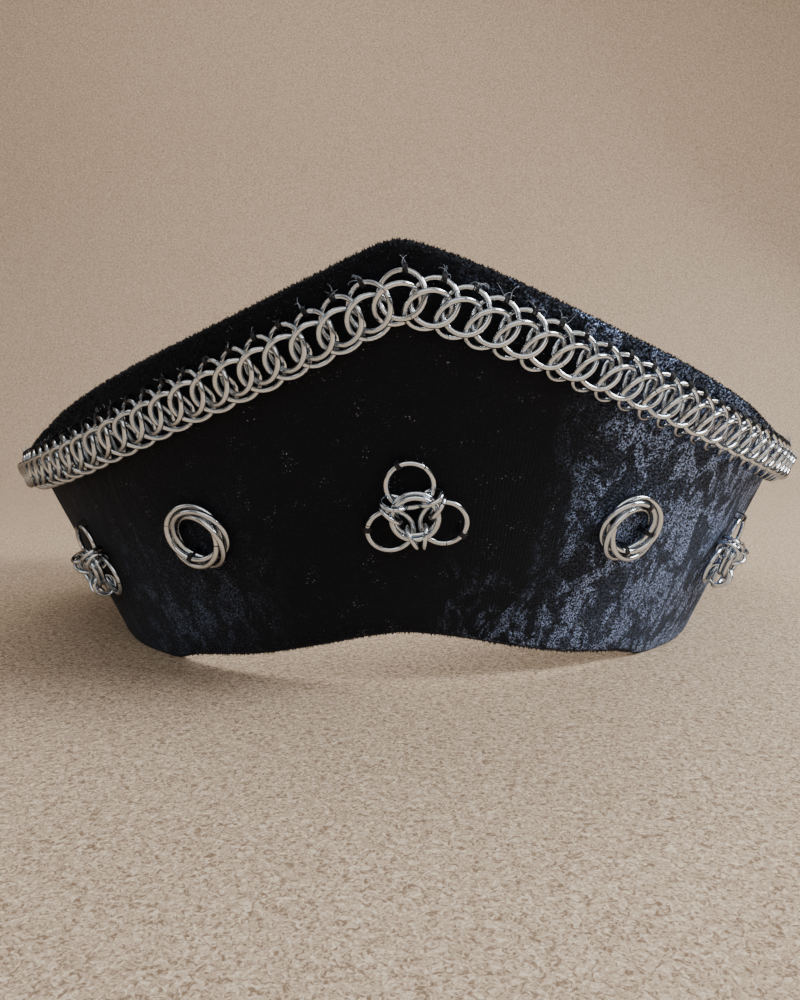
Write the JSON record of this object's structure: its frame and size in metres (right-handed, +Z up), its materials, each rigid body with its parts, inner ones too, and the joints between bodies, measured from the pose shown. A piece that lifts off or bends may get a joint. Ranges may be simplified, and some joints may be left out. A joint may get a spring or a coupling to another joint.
{
  "type": "kokoshnik head-dress band",
  "caption": "Stiff velvet kokoshnik band, open at the back and flared to a rounded peak, with a woven ring-chain edge and linked-ring ornaments.",
  "frame": {"origin": "centre of the bounding box's base, on the plane that the band stands on", "axes": "+X to the right as seen from the front, along the longest side; -Y out of the front; +Z up"},
  "size_m": [0.2622, 0.2048, 0.1038],
  "materials": {
    "black_velvet": "crushed stretch velvet pile",
    "steel_rings": "bright stainless wire"
  },
  "bodies": {
    "root": {"velvet_band": "black_velvet", "ring_chain": "steel_rings", "centre_trefoil_outer_top": "steel_rings", "centre_trefoil_outer_left": "steel_rings", "centre_trefoil_outer_right": "steel_rings", "centre_trefoil_core_inner": "steel_rings", "centre_trefoil_core_outer": "steel_rings", "centre_trefoil_link_top_right": "steel_rings", "centre_trefoil_link_top_left": "steel_rings", "centre_trefoil_link_left_top": "steel_rings", "centre_trefoil_link_left_low": "steel_rings", "centre_trefoil_link_right_low": "steel_rings", "centre_trefoil_link_right_top": "steel_rings", "left_trefoil_outer_top": "steel_rings", "left_trefoil_outer_left": "steel_rings", "left_trefoil_outer_right": "steel_rings", "left_trefoil_core_inner": "steel_rings", "left_trefoil_core_outer": "steel_rings", "left_trefoil_link_top_right": "steel_rings", "left_trefoil_link_top_left": "steel_rings", "left_trefoil_link_left_top": "steel_rings", "left_trefoil_link_left_low": "steel_rings", "left_trefoil_link_right_low": "steel_rings", "left_trefoil_link_right_top": "steel_rings", "right_trefoil_outer_top": "steel_rings", "right_trefoil_outer_left": "steel_rings", "right_trefoil_outer_right": "steel_rings", "right_trefoil_core_inner": "steel_rings", "right_trefoil_core_outer": "steel_rings", "right_trefoil_link_top_right": "steel_rings", "right_trefoil_link_top_left": "steel_rings", "right_trefoil_link_left_top": "steel_rings", "right_trefoil_link_left_low": "steel_rings", "right_trefoil_link_right_low": "steel_rings", "right_trefoil_link_right_top": "steel_rings", "left_rosette_ring_1": "steel_rings", "left_rosette_ring_2": "steel_rings", "left_rosette_ring_3": "steel_rings", "left_rosette_ring_4": "steel_rings", "right_rosette_ring_1": "steel_rings", "right_rosette_ring_2": "steel_rings", "right_rosette_ring_3": "steel_rings", "right_rosette_ring_4": "steel_rings"}
  },
  "joints": []
}
